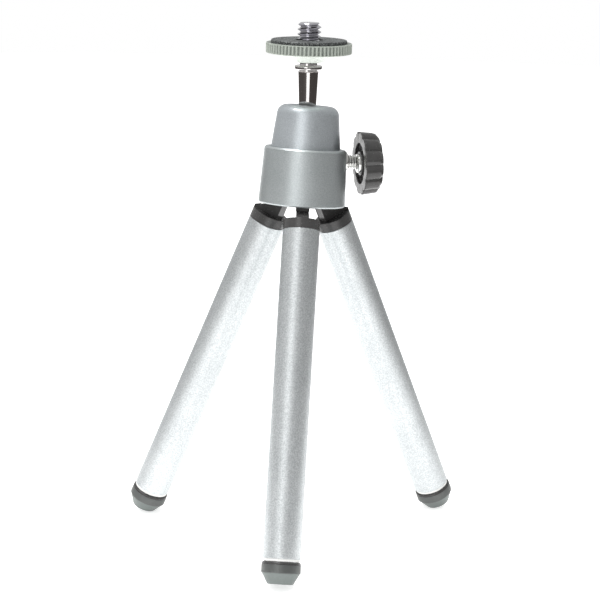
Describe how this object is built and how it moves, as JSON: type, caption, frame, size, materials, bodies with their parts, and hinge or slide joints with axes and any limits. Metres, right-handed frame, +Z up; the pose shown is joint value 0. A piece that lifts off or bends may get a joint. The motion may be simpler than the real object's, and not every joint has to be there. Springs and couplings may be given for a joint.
{
  "type": "mini tripod",
  "caption": "Tabletop mini tripod: ball head with a camera screw and lock disc, a side clamp knob, and telescopic legs that fold together under the collar.",
  "frame": {"origin": "on the floor, straight below the centre of the ball", "axes": "+Z up along the camera screw; the front leg points towards -Y; the clamp knob points towards +X"},
  "size_m": [0.0937, 0.0741, 0.1424],
  "materials": {
    "chrome": "polished",
    "steel": "nickel plated",
    "disc_plastic": "satin",
    "pad_rubber": "fine grain",
    "silver_paint": "silver satin",
    "black_plastic": "satin",
    "leg_aluminium": "blasted and anodised",
    "inner_aluminium": "bright drawn",
    "white_plastic": "satin",
    "foot_rubber": "matte"
  },
  "bodies": {
    "housing": {"dome": "silver_paint", "collar": "silver_paint", "knob_bushing": "steel", "leg_hub": "black_plastic", "hub_screw": "steel", "hinge_pin_front": "steel", "hinge_pin_right": "steel", "hinge_pin_left": "steel"},
    "ball": {"ball": "chrome"},
    "stem": {"stem": "chrome"},
    "stud": {"camera_stud": "chrome"},
    "disc_carrier": {"disc_insert": "steel"},
    "disc": {"lock_disc": "disc_plastic", "disc_pad": "pad_rubber"},
    "wedge": {"wedge_pin": "steel"},
    "knob": {"knob": "black_plastic", "knob_screw": "steel"},
    "cup": {"pressure_cup": "white_plastic"},
    "leg_front": {"leg_plug_front": "black_plastic", "outer_tube_front": "leg_aluminium", "slide_bush_front": "white_plastic"},
    "lower_leg_front": {"inner_tube_front": "inner_aluminium", "stop_cap_front": "white_plastic", "foot_front": "foot_rubber"},
    "leg_right": {"leg_plug_right": "black_plastic", "outer_tube_right": "leg_aluminium", "slide_bush_right": "white_plastic"},
    "lower_leg_right": {"inner_tube_right": "inner_aluminium", "stop_cap_right": "white_plastic", "foot_right": "foot_rubber"},
    "leg_left": {"leg_plug_left": "black_plastic", "outer_tube_left": "leg_aluminium", "slide_bush_left": "white_plastic"},
    "lower_leg_left": {"inner_tube_left": "inner_aluminium", "stop_cap_left": "white_plastic", "foot_left": "foot_rubber"}
  },
  "joints": [
    {"name": "head_tilt_fore_aft", "type": "hinge", "parent": "housing", "child": "ball", "pos_m": [0, 0, 0.11335], "axis": [1, 0, 0], "range_deg": [-19.5, 9.5]},
    {"name": "head_tilt_sideways", "type": "hinge", "parent": "ball", "child": "stem", "pos_m": [0, 0, 0.11335], "axis": [0, 1, 0], "range_deg": [-11.7, 17.3]},
    {"name": "head_spin", "type": "hinge", "parent": "stem", "child": "stud", "pos_m": [0, 0, 0.11335], "axis": [0, 0, 1], "continuous": true},
    {"name": "disc_turn", "type": "hinge", "parent": "disc_carrier", "child": "disc", "pos_m": [0, 0, 0.11335], "axis": [0, 0, 1], "range_deg": [-253, 533]},
    {"name": "disc_travel", "type": "slide", "parent": "stud", "child": "disc_carrier", "axis": [0, 0, 1], "range_m": [-0.00089, 0.00188]},
    {"name": "knob_turn", "type": "hinge", "parent": "wedge", "child": "knob", "pos_m": [-0.00037, -0.00068, 0.10564], "axis": [0.9761, 0.2071, -0.0651], "range_deg": [0, 361]},
    {"name": "wedge_travel", "type": "slide", "parent": "housing", "child": "wedge", "axis": [0.9761, 0.2071, -0.0651], "range_m": [0, 0.0007]},
    {"name": "cup_drop", "type": "slide", "parent": "housing", "child": "cup", "axis": [-0.0479, -0.0872, -0.995], "range_m": [0, 0.00071]},
    {"name": "leg_fold_front", "type": "hinge", "parent": "housing", "child": "leg_front", "pos_m": [-0.00047, -0.00787, 0.09788], "axis": [-0.9978, -0.0426, 0.0517], "range_deg": [-16.3, 13.2]},
    {"name": "leg_extend_front", "type": "slide", "parent": "leg_front", "child": "lower_leg_front", "axis": [-0.0328, -0.363, -0.9312], "range_m": [0, 0.055]},
    {"name": "leg_fold_right", "type": "hinge", "parent": "housing", "child": "leg_right", "pos_m": [0.00469, 0.00207, 0.09676], "axis": [0.5395, -0.8406, 0.0477], "range_deg": [-28, 1.5]},
    {"name": "leg_extend_right", "type": "slide", "parent": "leg_right", "child": "lower_leg_right", "axis": [0.3524, 0.1739, -0.9195], "range_m": [0, 0.055]},
    {"name": "leg_fold_left", "type": "hinge", "parent": "housing", "child": "leg_left", "pos_m": [-0.00654, 0.00159, 0.09735], "axis": [0.4583, 0.8832, -0.0995], "range_deg": [-21.4, 8.1]},
    {"name": "leg_extend_left", "type": "slide", "parent": "leg_left", "child": "lower_leg_left", "axis": [-0.3684, 0.0869, -0.9256], "range_m": [0, 0.055]}
  ],
  "couplings": [
    {"joint": "disc_turn", "follows": "disc_travel", "rad_per_m": 4947.4},
    {"joint": "knob_turn", "follows": "wedge_travel", "rad_per_m": 8976},
    {"joint": "cup_drop", "follows": "wedge_travel", "ratio": 1}
  ]
}
